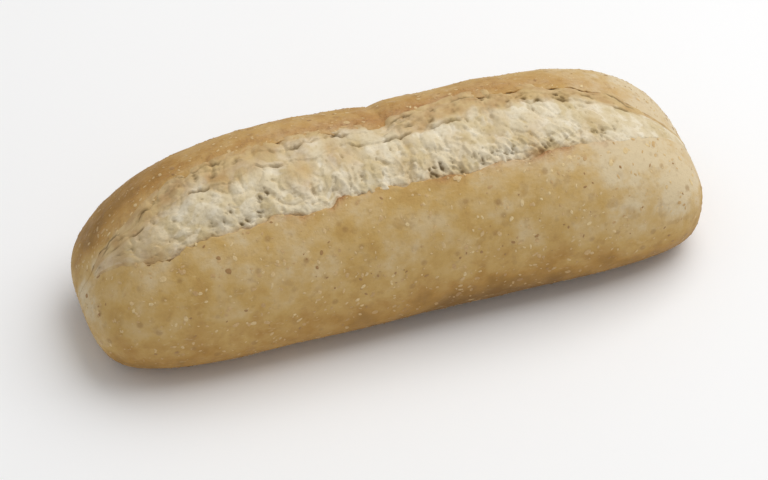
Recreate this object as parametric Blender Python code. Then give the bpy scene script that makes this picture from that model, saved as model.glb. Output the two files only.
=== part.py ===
"""A wheat-grain bread roll, baked with one lengthwise cut that tore open.

One closed solid: the crust, and inside its two lips the torn crumb.
Metres, +X along the roll, +Y to its rear, +Z up, origin under its middle on the flat base.
"""

import math

import bmesh
import bpy
import numpy as np

MM = 0.001
LEFT, RIGHT = 0, 1

# Driving sizes of the whole roll
LENGTH = 178 * MM
WIDTH = 60 * MM
HEIGHT = 51.5 * MM
WIDEST_LEVEL = 17 * MM
BASE_SINK = 1.5 * MM
SIDEWAYS_BEND = 1.2 * MM

# Powers of the section, 2 being an ellipse and more being squarer
CROWN_POWER = 2.3
BELLY_POWER = 2.45

# How late each end closes and how squarely, left and right, seen from above and from the side
SIDE_CLOSING = ((5.6, 3.1), (6.6, 3.8))
CROWN_CLOSING = ((4.0, 1.3), (3.9, 1.65))
BELLY_CLOSING = ((22.0, 1.5), (31.0, 1.8))

# The split: its ends as shares of the half length, its middle and half width as turns of the section
SPLIT_ENDS = (-0.965, 0.995)
SPLIT_WIDENING = (0.30, 0.72)
SPLIT_MIDDLE = math.radians(-12.3)
SPLIT_LEFT_TURN = math.radians(9.0)
SPLIT_LEFT_REACH = 0.18
SPLIT_HALF = math.radians(19.5)
SPLIT_SHUT = math.radians(2.0)
LIP_WANDER = math.radians(1.5)
LIP_WANDERS = 9.0
LIP_BLEND = 6

# A flap of crust on the front lip: where it starts, and how far the lip runs back before it and steps up there
FLAP_START = -0.235
FLAP_BACK = math.radians(2.2)
FLAP_BEFORE = 0.22
FLAP_STEP = math.radians(4.0)
FLAP_FADE = (0.15, 0.40)

# Heights of the split's parts over or under the closed crust
FRONT_LIP_RISE = 0.5 * MM
FRONT_LIP_REACH = math.radians(10.0)
FRONT_DROP = 1.5 * MM
FRONT_DROP_REACH = 0.14
REAR_DROP = (0.9 * MM, 2.3 * MM)
REAR_DROP_REACH = 0.10
CRUMB_SWELL = 0.6 * MM
LIFT_REACH = 0.35
CRAG_HEIGHT = 0.8 * MM
CRAG_SIZE = 6.5 * MM
STRIP_RISE = 0.9 * MM
STRIP_FROM, STRIP_TO = 0.70, 0.90
STRIP_START = 0.05

# The rear lip lies low on the left and stands free as an ear on the right, from the first to the second place
EAR_FREE = (-0.14, 0.08)
EAR_RISE = 0.4 * MM
EAR_OVERHANG = (0.5 * MM, 1.2 * MM)
EAR_REACH = math.radians(40.0)
OVERHANG_REACH = math.radians(8.0)

# How far the ear stands back from the split, and between which places it comes and goes
EAR_BACK = math.radians(5.0)
EAR_BACK_COMES = (0.08, 0.30)
EAR_BACK_GOES = (0.70, 0.93)

# Humps and dips along the rear lip: their middles, spreads and rises
EAR_HUMPS = (
    (-0.42, 0.22, 0.9 * MM),
    (-0.14, 0.10, -0.6 * MM),
    (0.20, 0.08, -0.6 * MM),
    (0.36, 0.10, 0.6 * MM),
)

# A sharp crease across the rear crust
CREASE_AT = 0.005
CREASE_SPREAD = 0.05
CREASE_DEPTH = 1.9 * MM
CREASE_REACH = math.radians(75.0)

# The crust's slow unevenness
CRUST_WAVE_HEIGHT = 0.45 * MM
CRUST_WAVE_SIZE = 30 * MM
BASE_FADE = 8 * MM

# Mesh density
STATIONS = 104
FRONT_POINTS = 17
CRUMB_POINTS = 13
REAR_POINTS = 14

CRUST_COLOUR = (0.47, 0.30, 0.14, 1.0)
CRUST_ROUGHNESS = 0.6


def clear_scene():
    """Remove every object of the startup scene."""
    for thing in list(bpy.data.objects):
        bpy.data.objects.remove(thing, do_unlink=True)


def lattice_gradient(cell, seed):
    """A fixed direction for each corner of the noise lattice, from a hash of its place."""
    mixed = cell[..., 0] * 73856093 ^ cell[..., 1] * 19349663 ^ cell[..., 2] * 83492791 ^ seed * 49979687
    mixed = (mixed ^ (mixed >> 13)) * 1274126177 & 0x7FFFFFFF
    lean = (mixed & 0xFFFF) / 32767.5 - 1.0
    turn = (mixed >> 15) / 65535.0 * 2.0 * np.pi
    flat = np.sqrt(np.clip(1.0 - lean * lean, 0.0, 1.0))
    return np.stack([flat * np.cos(turn), flat * np.sin(turn), lean], axis=-1)


def smooth_noise(places, seed=0):
    """Gradient noise between about -1 and 1 at each place, one lattice cell being one unit."""
    corner = np.floor(places).astype(np.int64)
    within = places - corner
    ease = within * within * within * (within * (within * 6.0 - 15.0) + 10.0)
    total = np.zeros(places.shape[:-1])
    for step in np.ndindex(2, 2, 2):
        offset = np.array(step)
        share = np.prod(np.where(offset == 1, ease, 1.0 - ease), axis=-1)
        slope = lattice_gradient(corner + offset, seed)
        total += share * np.sum(slope * (within - offset), axis=-1)
    return 1.6 * total


def ease_between(low, high, value):
    """0 below low, 1 above high and a smooth change between."""
    share = np.clip((value - low) / (high - low), 0.0, 1.0)
    return share * share * (3.0 - 2.0 * share)


def bump_at(along, middle, spread):
    return np.exp(-(((along - middle) / spread) ** 2))


def closing(along, ends):
    """How full the body is at a station: 1 in the middle and 0 at both ends."""
    left = along < 0.0
    lateness = np.where(left, ends[LEFT][0], ends[RIGHT][0])
    squareness = np.where(left, ends[LEFT][1], ends[RIGHT][1])
    return np.clip(1.0 - np.abs(along) ** lateness, 0.0, 1.0) ** (1.0 / squareness)


def closed_crust(along, turn):
    """Points of the roll as if it had no split. Turn 0 is the top, negative to the front, and pi the base."""
    across = np.sin(turn)
    upward = np.cos(turn)
    above = upward >= 0.0
    bend = 2.0 / np.where(above, CROWN_POWER, BELLY_POWER)
    side = WIDTH / 2 * closing(along, SIDE_CLOSING) * np.sign(across) * np.abs(across) ** bend
    crown = (HEIGHT - WIDEST_LEVEL) * closing(along, CROWN_CLOSING)
    belly = (WIDEST_LEVEL + BASE_SINK) * closing(along, BELLY_CLOSING)
    rise = np.where(above, crown, -belly) * np.abs(upward) ** bend
    y = side - SIDEWAYS_BEND * along**2
    return np.stack([along * LENGTH / 2, y, WIDEST_LEVEL + rise], axis=-1)


def section_normal(along, turn):
    """The outward direction across the section, and the direction in which the turn grows."""
    small = math.radians(0.1)
    ahead = closed_crust(along, turn + small) - closed_crust(along, turn - small)
    ahead[..., 0] = 0.0
    forward = ahead / np.maximum(np.linalg.norm(ahead, axis=-1, keepdims=True), 1e-12)
    outward = np.stack([np.zeros_like(turn), -forward[..., 2], forward[..., 1]], axis=-1)
    return outward, forward


def split_openness(along):
    """1 where the split is open and 0 past its two ends."""
    start = ease_between(SPLIT_ENDS[LEFT], SPLIT_ENDS[LEFT] + SPLIT_WIDENING[LEFT], along)
    end = 1.0 - ease_between(SPLIT_ENDS[RIGHT] - SPLIT_WIDENING[RIGHT], SPLIT_ENDS[RIGHT], along)
    return np.sqrt(start * end)


def flap_turn(along):
    """How far the flap turns the front lip at each station."""
    back = -FLAP_BACK * ease_between(FLAP_START - FLAP_BEFORE, FLAP_START, along)
    step = FLAP_STEP * ease_between(FLAP_START - 0.01, FLAP_START + 0.02, along)
    fade = 1.0 - ease_between(FLAP_START + FLAP_FADE[0], FLAP_START + FLAP_FADE[1], along)
    return (back + step) * fade


def lip_turns(along):
    """Mean turns of the front and the rear lip at each station, and how far each strays from its mean."""
    open_share = split_openness(along)
    past_end = ease_between(SPLIT_ENDS[LEFT], SPLIT_ENDS[LEFT] + SPLIT_LEFT_REACH, along)
    middle = SPLIT_MIDDLE + SPLIT_LEFT_TURN * (1.0 - past_end)
    half = SPLIT_SHUT + (SPLIT_HALF - SPLIT_SHUT) * open_share
    place = np.stack([along * LIP_WANDERS, np.full_like(along, 0.3), np.full_like(along, 0.7)], axis=-1)
    front_stray = LIP_WANDER * open_share * smooth_noise(place, seed=1) + flap_turn(along)
    rear_stray = LIP_WANDER * open_share * smooth_noise(place, seed=2)
    back = ease_between(*EAR_BACK_COMES, along) * (1.0 - ease_between(*EAR_BACK_GOES, along))
    return middle - half, middle + half + EAR_BACK * back, front_stray, rear_stray


def ear_freedom(along):
    return ease_between(EAR_FREE[0], EAR_FREE[1], along)


def mix(pair, share):
    """The first value where the share is 0 and the second where it is 1."""
    return pair[0] + (pair[1] - pair[0]) * share


def ear_height(along):
    """How far the rear lip is lifted at each station."""
    height = np.full_like(along, EAR_RISE)
    for middle, spread, rise in EAR_HUMPS:
        height = height + rise * bump_at(along, middle, spread)
    return height * split_openness(along)


def crease_depth(along, behind):
    """Depth of the crease at each station and turn behind the rear lip."""
    return CREASE_DEPTH * np.exp(-np.abs(along - CREASE_AT) / CREASE_SPREAD - (behind / CREASE_REACH) ** 2)


def crumb_height(along, share, places):
    """Height of the torn crumb over the closed crust, share being 0 at the front lip and 1 at the rear."""
    valley = FRONT_DROP * np.exp(-share / FRONT_DROP_REACH)
    hollow = mix(REAR_DROP, ear_freedom(along)) * np.exp(-(1.0 - share) / REAR_DROP_REACH)
    swell = CRUMB_SWELL * np.sin(math.pi * share)
    crags = CRAG_HEIGHT * smooth_noise(places / CRAG_SIZE, seed=3)
    strip = ease_between(STRIP_FROM, STRIP_FROM + 0.05, share) - ease_between(STRIP_TO, STRIP_TO + 0.05, share)
    strip = STRIP_RISE * strip * ease_between(STRIP_START, STRIP_START + 0.1, along)
    lifted = ear_height(along) * (1.0 - ear_freedom(along)) * np.exp(-(1.0 - share) / LIFT_REACH)
    return (swell + crags + strip + lifted - valley - hollow) * split_openness(along)


def ring_of(along):
    """One closed ring of points round the roll at a station, starting under the base."""
    station = np.array([along])
    front_mean, rear_mean, front_stray, rear_stray = (float(value[0]) for value in lip_turns(station))
    openness = float(split_openness(station)[0])
    lift = float(ear_height(station)[0])
    front_side = np.linspace(-math.pi, front_mean, FRONT_POINTS)
    front_side += front_stray * np.linspace(0.0, 1.0, FRONT_POINTS) ** LIP_BLEND
    rear_side = np.linspace(rear_mean, math.pi, REAR_POINTS)[:-1]
    rear_side += rear_stray * np.linspace(1.0, 0.0, REAR_POINTS)[:-1] ** LIP_BLEND
    front, rear = front_side[-1], rear_side[0]
    share = np.linspace(0.0, 1.0, CRUMB_POINTS)
    crumb = front + (rear - front) * share
    turn = np.concatenate([front_side, crumb, rear_side])
    stations = np.full_like(turn, along)
    skin = closed_crust(stations, turn)
    outward, forward = section_normal(stations, turn)
    crust = np.concatenate([np.ones(FRONT_POINTS), np.zeros(CRUMB_POINTS), np.ones(len(rear_side))])
    off_base = ease_between(0.0, BASE_FADE, skin[:, 2])
    wave = CRUST_WAVE_HEIGHT * off_base * smooth_noise(skin / CRUST_WAVE_SIZE, seed=4)
    before = front - np.minimum(turn, front)
    front_rise = FRONT_LIP_RISE * openness * np.exp(-before / FRONT_LIP_REACH)
    behind = np.maximum(turn, rear) - rear
    ear = lift * np.exp(-((behind / EAR_REACH) ** 2)) - crease_depth(along, behind)
    overhang = mix(EAR_OVERHANG, ear_freedom(along)) * openness * np.exp(-((behind / OVERHANG_REACH) ** 2))
    raised = np.where(turn <= front, front_rise, np.where(turn >= rear, ear, 0.0)) * crust
    pulled = np.where(turn >= rear, -overhang, 0.0) * crust
    torn = np.zeros_like(turn)
    span = slice(FRONT_POINTS, FRONT_POINTS + CRUMB_POINTS)
    torn[span] = crumb_height(stations[span], share, skin[span])
    height = wave * crust + raised + torn
    ring = skin + outward * height[:, None] + forward * pulled[:, None]
    ring[:, 2] = np.maximum(ring[:, 2], 0.0)
    return ring


def loft(mesh, rings, first, last):
    """Skin the rings with quads and close each end with a fan."""
    loops = [[mesh.verts.new(point) for point in ring] for ring in rings]
    count = len(loops[0])
    for near, far in zip(loops, loops[1:]):
        for i in range(count):
            j = (i + 1) % count
            mesh.faces.new((near[i], near[j], far[j], far[i]))
    for loop, tip_at, flip in ((loops[0], first, False), (loops[-1], last, True)):
        tip = mesh.verts.new(tip_at)
        for i in range(count):
            j = (i + 1) % count
            corners = (tip, loop[i], loop[j]) if flip else (tip, loop[j], loop[i])
            mesh.faces.new(corners)


def centre_on_base(mesh):
    """Move the solid so that its box is centred over the origin and its base lies at height 0."""
    points = np.array([vert.co[:] for vert in mesh.verts])
    low, high = points.min(axis=0), points.max(axis=0)
    shift = (-(low[0] + high[0]) / 2, -(low[1] + high[1]) / 2, -low[2])
    bmesh.ops.translate(mesh, verts=mesh.verts, vec=shift)


def crust_material():
    material = bpy.data.materials.new("crust")
    material.use_nodes = True
    shader = material.node_tree.nodes["Principled BSDF"]
    shader.inputs["Base Color"].default_value = CRUST_COLOUR
    shader.inputs["Roughness"].default_value = CRUST_ROUGHNESS
    shader.inputs["Metallic"].default_value = 0.0
    material.diffuse_color = CRUST_COLOUR
    return material


def make_bread_roll():
    steps = np.linspace(-1.0, 1.0, STATIONS + 2)[1:-1]
    stations = np.sin(math.pi / 2 * steps)
    rings = [ring_of(along) for along in stations]
    mesh = bmesh.new()
    left_tip = (-LENGTH / 2, -SIDEWAYS_BEND, WIDEST_LEVEL)
    right_tip = (LENGTH / 2, -SIDEWAYS_BEND, WIDEST_LEVEL)
    loft(mesh, rings, left_tip, right_tip)
    centre_on_base(mesh)
    bmesh.ops.triangulate(mesh, faces=mesh.faces)
    bmesh.ops.recalc_face_normals(mesh, faces=mesh.faces)
    data = bpy.data.meshes.new("bread_roll")
    mesh.to_mesh(data)
    mesh.free()
    data.shade_smooth()
    data.materials.append(crust_material())
    roll = bpy.data.objects.new("bread_roll", data)
    bpy.context.scene.collection.objects.link(roll)
    return roll


def main():
    clear_scene()
    make_bread_roll()


main()
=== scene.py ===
"""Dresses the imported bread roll: baked crust, torn crumb and bran flecks, on a plain pale floor.

Laid out as an add-on and run as a script. Sizes are in metres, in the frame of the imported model. Only what
is torn is worked out on a finer grid in millimetres, with s along the roll and t across the split.
"""

import math

import bpy
import numpy as np
from mathutils import Matrix, Vector


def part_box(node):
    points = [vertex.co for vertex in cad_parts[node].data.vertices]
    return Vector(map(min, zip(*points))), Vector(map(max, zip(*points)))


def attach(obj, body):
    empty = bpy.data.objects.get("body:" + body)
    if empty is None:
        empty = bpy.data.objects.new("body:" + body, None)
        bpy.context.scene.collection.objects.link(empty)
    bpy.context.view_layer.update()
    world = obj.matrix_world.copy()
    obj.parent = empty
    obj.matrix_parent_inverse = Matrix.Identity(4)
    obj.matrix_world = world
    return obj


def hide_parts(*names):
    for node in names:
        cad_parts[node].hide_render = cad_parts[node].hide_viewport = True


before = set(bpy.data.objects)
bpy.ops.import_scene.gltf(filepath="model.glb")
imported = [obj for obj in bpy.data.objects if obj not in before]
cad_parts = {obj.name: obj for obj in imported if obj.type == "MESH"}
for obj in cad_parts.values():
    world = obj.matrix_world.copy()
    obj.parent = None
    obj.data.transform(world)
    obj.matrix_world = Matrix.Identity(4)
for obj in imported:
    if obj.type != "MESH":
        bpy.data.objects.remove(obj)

bl_info = {
    "name": "Split Bread Roll",
    "version": (1, 0, 0),
    "blender": (4, 5, 0),
    "location": "View3D > Sidebar > Bread",
    "description": "Makes the crust, torn crumb and bran flecks of a split wheat-grain roll",
    "category": "Add Mesh",
}

MM = 0.001
LEFT, RIGHT = 0, 1
FRONT, REAR = 0, 1
NODE = "bread_roll"

# The closed form of the roll, with the values that its solid has
LENGTH = 178 * MM
WIDTH = 60 * MM
HEIGHT = 51.5 * MM
WIDEST_LEVEL = 17 * MM
BASE_SINK = 1.5 * MM
SIDEWAYS_BEND = 1.2 * MM
CROWN_POWER = 2.3
BELLY_POWER = 2.45
SIDE_CLOSING = ((5.6, 3.1), (6.6, 3.8))
CROWN_CLOSING = ((4.0, 1.3), (3.9, 1.65))
BELLY_CLOSING = ((22.0, 1.5), (31.0, 1.8))

# The split, also as in the solid
SPLIT_ENDS = (-0.965, 0.995)
SPLIT_WIDENING = (0.30, 0.72)
SPLIT_MIDDLE = math.radians(-12.3)
SPLIT_LEFT_TURN = math.radians(9.0)
SPLIT_LEFT_REACH = 0.18
SPLIT_HALF = math.radians(19.5)
SPLIT_SHUT = math.radians(2.0)
LIP_WANDER = math.radians(1.5)
LIP_WANDERS = 9.0
FLAP_START = -0.235
FLAP_BACK = math.radians(2.2)
FLAP_BEFORE = 0.22
FLAP_STEP = math.radians(4.0)
FLAP_FADE = (0.15, 0.40)
FRONT_LIP_RISE = 0.5 * MM
FRONT_LIP_REACH = math.radians(10.0)
FRONT_DROP = 1.5 * MM
FRONT_DROP_REACH = 0.14
REAR_DROP = (0.9 * MM, 2.3 * MM)
REAR_DROP_REACH = 0.10
CRUMB_SWELL = 0.6 * MM
LIFT_REACH = 0.35
CRAG_HEIGHT = 0.8 * MM
CRAG_SIZE = 6.5 * MM
EAR_FREE = (-0.14, 0.08)
EAR_RISE = 0.4 * MM
EAR_OVERHANG = (0.5 * MM, 1.2 * MM)
EAR_REACH = math.radians(40.0)
OVERHANG_REACH = math.radians(8.0)
EAR_BACK = math.radians(5.0)
EAR_BACK_COMES = (0.08, 0.30)
EAR_BACK_GOES = (0.70, 0.93)
EAR_HUMPS = (
    (-0.42, 0.22, 0.9 * MM),
    (-0.14, 0.10, -0.6 * MM),
    (0.20, 0.08, -0.6 * MM),
    (0.36, 0.10, 0.6 * MM),
)
CREASE_AT = 0.005
CREASE_SPREAD = 0.05
CREASE_DEPTH = 1.9 * MM
CREASE_REACH = math.radians(75.0)
BASE_FADE = 8 * MM

# The crust's unevenness: height, size and seed of each layer of noise, the first one being the solid's
CRUST_WAVES = (
    (0.45 * MM, 30 * MM, 4),
    (0.16 * MM, 9.0 * MM, 5),
    (0.07 * MM, 3.4 * MM, 6),
    (0.04 * MM, 1.6 * MM, 7),
)

# How far the straying of each lip and its lumps reach over the crust, the lumps' height, and the size of
# the straying in millimetres
JAG_REACH = (math.radians(4.0), math.radians(5.0))
LUMP_REACH = (math.radians(4.0), math.radians(7.0))
LUMP_HEIGHT = (0.14 * MM, 0.34 * MM)
JAG_SIZE = 6.0

# Torn edges below the two lips: each line's step into the split in millimetres, and its depth in shares of
# the edge's depth
FRONT_EDGE = ((0.16, 0.10), (0.26, 0.35), (0.24, 0.70), (0.10, 1.2), (-0.1, 2.4), (-0.3, 4.0))
REAR_EDGE = ((2.2, 4.0), (1.9, 2.6), (1.2, 1.5), (0.4, 1.0), (-0.15, 0.62), (-0.22, 0.28))
FLOOR_SHARES = (0.02, 0.98)
LEAST_OPEN = 0.03

# Levels over the base between which the crust's colour changes: all round, darker towards the base, partly
# as a browner bake and partly as painted shade of the lower sides; behind at the left; at the right, where
# the paler crust fades out towards the base as painted shade
LOW_BAKE_AND_SHADE_LEVELS = (3 * MM, 30 * MM)
LEFT_REAR_LEVELS = (8 * MM, 26 * MM)
RIGHT_LEVELS = (6 * MM, 28 * MM)

# How far over the crust each marking reaches from its lip: pale flakes behind the rear one, the pale strip
# beside the front one, partly paler crust and partly painted light on the upward-facing top of the front,
# and the toasted stretches at both, with the sizes of their noise
FLAKY_REACH = math.radians(4.0)
FLAKY_SIZE = 5.0 * MM
PALE_AND_LIT_REACH = math.radians(13.0)
TOAST_REACH = (math.radians(2.6), math.radians(9.0))
TOAST_SIZE = 2.5 * MM

# Torn layers under the rear lip: where each begins on the left and on the right, its step and its noise
LAYERS = (((0.71, 0.73), 0.45 * MM, 71), ((0.89, 0.86), 0.45 * MM, 81))

# The layers gape where the split is wider than the first of these, in millimetres, and fully at the second
GAPE_WIDTHS = (3.5, 9.0)
GAPE_DEPTH = 0.6 * MM

# The crumb's sheet: how far it stops short of the split's ends, how far it runs under the lips in shares of
# the split's width, how it is tucked down there, and the room below the crust's hidden floor
CRUMB_SHORT = 0.004
CRUMB_SHARES = (-0.09, 1.13)
CRUMB_TUCK = 1.5 * MM
CRUMB_END_DROP = 0.8 * MM
CRUMB_UNDER_ROOM = 1.2 * MM

# Rounded lobes, hanging strands and grit of the crumb: their sizes in millimetres and the grit's height
LOBE_SIZE = 6.5
STRAND_SIZE = (2.4, 5.0)
GRIT_SIZE = (1.7, 1.5)
GRIT_HEIGHT = 0.14 * MM

# How far the crumb fills up the drop beside each lip, and the longest half of a flake in millimetres
FILL_RISE = (1.2 * MM, 1.7 * MM)
FLAKE_LONGEST = 4.8

# Groups of larger pores and cracks: first and last place along the half length, share of the split's width
# and its spread, number of pores and their radius in millimetres
PORE_GROUPS = (
    (-0.94, -0.70, 0.60, 0.15, 6, 0.55),
    (-0.62, -0.40, 0.25, 0.10, 8, 0.80),
    (-0.30, -0.08, 0.18, 0.07, 8, 0.55),
    (0.07, 0.20, 0.13, 0.06, 4, 0.80),
    (0.22, 0.36, 0.13, 0.05, 6, 0.75),
    (0.44, 0.54, 0.16, 0.06, 3, 0.75),
    (0.60, 0.72, 0.24, 0.05, 3, 0.60),
    (-0.88, -0.44, 0.88, 0.04, 9, 0.60),
    (-0.30, 0.06, 0.94, 0.04, 6, 0.55),
    (0.10, 0.34, 0.88, 0.05, 5, 0.65),
    (0.36, 0.62, 0.81, 0.05, 5, 0.80),
    (0.64, 0.82, 0.88, 0.03, 3, 0.45),
)
PORE_SEED = 3
PORE_CLUSTER = 4
SMALL_PORE_LARGEST = 0.5
# Pore depth at which the painted shade of a pore is full
PORE_SHADE_DEPTH = 1.0 * MM

# Tan patches of the crumb, some of them painted shade in its pockets: place along the half length, share of
# the split's width and strength, and how far they spread along the roll in millimetres and across the split
CRUMB_TANS_AND_SHADES = (
    (-0.30, 0.55, 1.0), (-0.19, 0.75, 0.5), (-0.13, 0.58, 0.6), (0.01, 0.20, 0.45), (0.20, 0.38, 0.35),
    (0.38, 0.18, 0.3),
)
CRUMB_TAN_AND_SHADE_SPREAD = (3.0, 0.22)

# Well baked, raised stretches of the front lip: middle, spread and strength
LIP_PATCHES = (
    (-0.36, 0.08, 0.7), (-0.215, 0.035, 1.0), (-0.10, 0.05, 0.4), (0.12, 0.05, 1.0),
    (0.28, 0.07, 0.55), (0.44, 0.06, 1.0), (0.52, 0.04, 0.7), (0.65, 0.05, 0.4),
)

# Mesh density of the two big pieces, how far along the crust's rings reach, and how much closer the lines of
# points lie towards the ends and the lips
CRUST_STATIONS = 334
CRUST_FRONT_POINTS = 146
CRUST_REAR_POINTS = 112
CRUST_FLOOR_POINTS = 9
CRUST_REACH = 0.999
END_CROWDING = 0.16
LIP_CROWDING = 1.2
CRUMB_STATIONS = 620
CRUMB_POINTS = 138
CRUMB_UNDER_POINTS = 12

# Bran flecks: the share that are brown, how deep their rims sink and their undersides reach, the angle that
# counts as an edge, and the mean and spread of the logarithm of their length in shares of the largest
BROWN_FLECKS = 0.08
FLECK_CORNERS = 8
FLECK_SINK = 0.03 * MM
FLECK_UNDER = 0.15 * MM
FLECK_THICKNESS = (0.02 * MM, 0.06 * MM)
FLECK_NARROWNESS = (0.4, 0.8)
FLECK_LENGTHS = (-0.85, 0.4)
FLECK_LOWEST = 2.0 * MM
FLECK_EDGE = math.radians(50.0)

# Screen colours of the finer markings on the crust, the crumb, the bran and the floor
CRUST_LIGHT = (204, 174, 120)
CRUST_SPOT = (142, 104, 60)
CRUST_SMUDGE = (148, 110, 64)
CRUST_TOAST = (178, 124, 75)
CRUST_SCAB = (146, 98, 52)
CRUST_GRAIN = (150, 112, 68)
CRUST_DUST = (230, 208, 164)
CRUMB_SPECK = (184, 163, 122)
CRUMB_TOAST = (184, 147, 94)
CRUMB_TOAST_PALE = (202, 172, 118)
BRAN_BROWN = (172, 132, 80)
BRAN_TAN = (205, 170, 116)
BRAN_BAKED = (176, 140, 88)
BRAN_PATCH = (150, 110, 64)
FLOOR_SHADE = (247, 247, 247)

# The floor and the soft light from above
FLOOR_HALF = 2.0
KEY_SIZE = 1.0
KEY_PLACE = (0.45, 0.10, 0.95)

# The camera looks from the photograph's side: its aim on the roll, the photograph's size, its pixels for
# each metre, the pixel that the aim falls on, and the sensor's width in millimetres
CAMERA_AIM = (0.0, 0.0, 0.022)
PHOTO_SIZE = (768, 480)
PHOTO_SCALE = 3600.0
AIM_PIXEL = (387.0, 269.7)
SENSOR_WIDTH = 36.0


def lattice_gradient(cell, seed):
    """A fixed direction for each corner of the noise lattice, from a hash of its place."""
    mixed = cell[..., 0] * 73856093 ^ cell[..., 1] * 19349663 ^ cell[..., 2] * 83492791 ^ seed * 49979687
    mixed = (mixed ^ (mixed >> 13)) * 1274126177 & 0x7FFFFFFF
    lean = (mixed & 0xFFFF) / 32767.5 - 1.0
    turn = (mixed >> 15) / 65535.0 * 2.0 * np.pi
    flat = np.sqrt(np.clip(1.0 - lean * lean, 0.0, 1.0))
    return np.stack([flat * np.cos(turn), flat * np.sin(turn), lean], axis=-1)


def smooth_noise(places, seed):
    """Gradient noise between about -1 and 1 at each place, one lattice cell being one unit."""
    corner = np.floor(places).astype(np.int64)
    within = places - corner
    ease = within * within * within * (within * (within * 6.0 - 15.0) + 10.0)
    total = np.zeros(places.shape[:-1])
    for step in np.ndindex(2, 2, 2):
        offset = np.array(step)
        share = np.prod(np.where(offset == 1, ease, 1.0 - ease), axis=-1)
        slope = lattice_gradient(corner + offset, seed)
        total += share * np.sum(slope * (within - offset), axis=-1)
    return 1.6 * total


def flat_noise(first, second, seed):
    """Noise over two coordinates."""
    first, second = np.broadcast_arrays(first, second)
    return smooth_noise(np.stack([first, second, np.full_like(first, 0.5)], axis=-1), seed)


def rough_noise(first, second, seed, layers=3, keep=0.5):
    """Noise over two coordinates with finer layers added, each that much weaker than the last."""
    total = np.zeros_like(first)
    for layer in range(layers):
        total += flat_noise(first * 2.03**layer, second * 2.03**layer, seed + layer) * keep**layer
    return total


def ridge_noise(first, second, seed, sharp):
    """Noise that is 1 on thin winding ridges and falls off on both sides."""
    return 1.0 - np.minimum(np.abs(flat_noise(first, second, seed)) * sharp, 1.0)


def blur(values):
    """A light smoothing over neighbouring grid points."""
    for axis in (0, 1):
        padded = np.concatenate([np.take(values, [0], axis), values, np.take(values, [-1], axis)], axis)
        size = values.shape[axis]
        before = np.take(padded, range(size), axis)
        after = np.take(padded, range(2, size + 2), axis)
        values = 0.5 * values + 0.25 * (before + after)
    return values


def ease_between(low, high, value):
    """0 up to the first value, 1 from the second on, whichever is larger, and a smooth change between."""
    share = np.clip((value - low) / (high - low), 0.0, 1.0)
    return share * share * (3.0 - 2.0 * share)


def bump_at(along, middle, spread):
    """1 at the middle and a smooth fall to 0 on both sides."""
    return np.exp(-(((along - middle) / spread) ** 2))


def closing(along, ends):
    """How full the body is at a station: 1 in the middle and 0 at both ends."""
    left = along < 0.0
    lateness = np.where(left, ends[LEFT][0], ends[RIGHT][0])
    squareness = np.where(left, ends[LEFT][1], ends[RIGHT][1])
    return np.clip(1.0 - np.abs(along) ** lateness, 0.0, 1.0) ** (1.0 / squareness)


def closed_crust(along, turn):
    """Points of the roll as if it had no split. Turn 0 is the top, negative to the front, pi the base."""
    across = np.sin(turn)
    upward = np.cos(turn)
    above = upward >= 0.0
    bend = 2.0 / np.where(above, CROWN_POWER, BELLY_POWER)
    side = WIDTH / 2 * closing(along, SIDE_CLOSING) * np.sign(across) * np.abs(across) ** bend
    crown = (HEIGHT - WIDEST_LEVEL) * closing(along, CROWN_CLOSING)
    belly = (WIDEST_LEVEL + BASE_SINK) * closing(along, BELLY_CLOSING)
    rise = np.where(above, crown, -belly) * np.abs(upward) ** bend
    y = side - SIDEWAYS_BEND * along**2
    return np.stack([along * LENGTH / 2, y, WIDEST_LEVEL + rise], axis=-1)


def unit(vectors):
    """The same directions with length 1."""
    return vectors / np.maximum(np.linalg.norm(vectors, axis=-1, keepdims=True), 1e-12)


def section_normal(along, turn):
    """The outward direction across the section, and the direction in which the turn grows."""
    small = math.radians(0.1)
    ahead = closed_crust(along, turn + small) - closed_crust(along, turn - small)
    ahead[..., 0] = 0.0
    forward = unit(ahead)
    outward = np.stack([np.zeros_like(turn), -forward[..., 2], forward[..., 1]], axis=-1)
    return outward, forward


def split_openness(along):
    """1 where the split is open and 0 past its two ends."""
    start = ease_between(SPLIT_ENDS[LEFT], SPLIT_ENDS[LEFT] + SPLIT_WIDENING[LEFT], along)
    end = 1.0 - ease_between(SPLIT_ENDS[RIGHT] - SPLIT_WIDENING[RIGHT], SPLIT_ENDS[RIGHT], along)
    return np.sqrt(start * end)


def flap_turn(along):
    """How far the flap turns the front lip at each station."""
    back = -FLAP_BACK * ease_between(FLAP_START - FLAP_BEFORE, FLAP_START, along)
    step = FLAP_STEP * ease_between(FLAP_START - 0.01, FLAP_START + 0.02, along)
    fade = 1.0 - ease_between(FLAP_START + FLAP_FADE[0], FLAP_START + FLAP_FADE[1], along)
    return (back + step) * fade


def lip_turns(along):
    """Turns of the front and the rear lip at each station, as the solid has them."""
    open_share = split_openness(along)
    past_end = ease_between(SPLIT_ENDS[LEFT], SPLIT_ENDS[LEFT] + SPLIT_LEFT_REACH, along)
    middle = SPLIT_MIDDLE + SPLIT_LEFT_TURN * (1.0 - past_end)
    half = SPLIT_SHUT + (SPLIT_HALF - SPLIT_SHUT) * open_share
    place = np.stack([along * LIP_WANDERS, np.full_like(along, 0.3), np.full_like(along, 0.7)], axis=-1)
    front_stray = LIP_WANDER * open_share * smooth_noise(place, seed=1) + flap_turn(along)
    rear_stray = LIP_WANDER * open_share * smooth_noise(place, seed=2)
    back = ease_between(*EAR_BACK_COMES, along) * (1.0 - ease_between(*EAR_BACK_GOES, along))
    return middle - half + front_stray, middle + half + EAR_BACK * back + rear_stray


def ear_freedom(along):
    """0 where the rear lip lies low, on the left, and 1 where it stands free as an ear."""
    return ease_between(EAR_FREE[0], EAR_FREE[1], along)


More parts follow.
